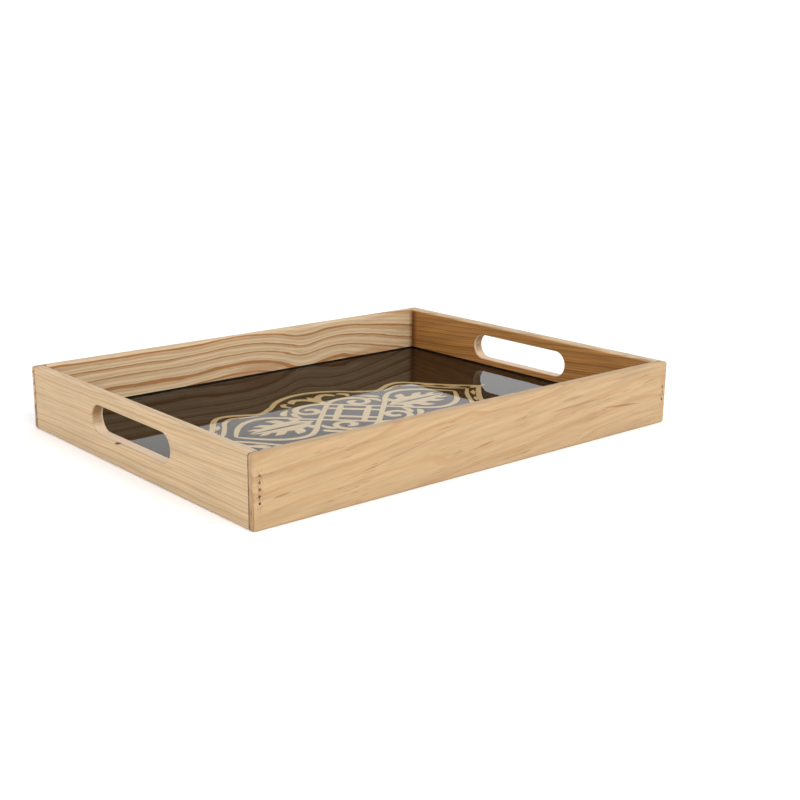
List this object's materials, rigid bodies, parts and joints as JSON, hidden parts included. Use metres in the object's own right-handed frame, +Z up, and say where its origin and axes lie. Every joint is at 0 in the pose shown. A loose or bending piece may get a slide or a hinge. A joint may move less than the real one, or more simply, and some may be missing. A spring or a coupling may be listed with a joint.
{
  "type": "serving tray",
  "caption": "Rectangular wooden serving tray with a hand slot through each short side and a glass-topped panel with an interlaced ornament.",
  "frame": {"origin": "middle of the tray's footprint, on the surface that it stands on", "axes": "+X along the long side towards the right end board, +Y across it towards the back rail, +Z up"},
  "size_m": [0.4, 0.3, 0.05],
  "materials": {
    "pale_wood": "sanded, clear satin oil, straight and cathedral grain",
    "hardboard": "bare brown fibreboard",
    "dark_print": "very dark brown printed sheet with a dull gold ornament",
    "gold_print": "dull gold ink, printed on the dark sheet",
    "clear_glass": "clear polished pane",
    "dull_steel": "dull darkened steel"
  },
  "bodies": {
    "root": {"front_rail": "pale_wood", "back_rail": "pale_wood", "left_end_board": "pale_wood", "right_end_board": "pale_wood", "base_board": "hardboard", "print_sheet": "dark_print", "glass_pane": "clear_glass", "front_left_brad_1": "dull_steel", "front_left_brad_2": "dull_steel", "front_left_brad_3": "dull_steel", "front_left_brad_4": "dull_steel", "front_left_brad_5": "dull_steel", "front_right_brad_1": "dull_steel", "front_right_brad_2": "dull_steel", "back_left_brad_1": "dull_steel", "back_left_brad_2": "dull_steel", "back_right_brad_1": "dull_steel", "back_right_brad_2": "dull_steel"}
  },
  "joints": []
}
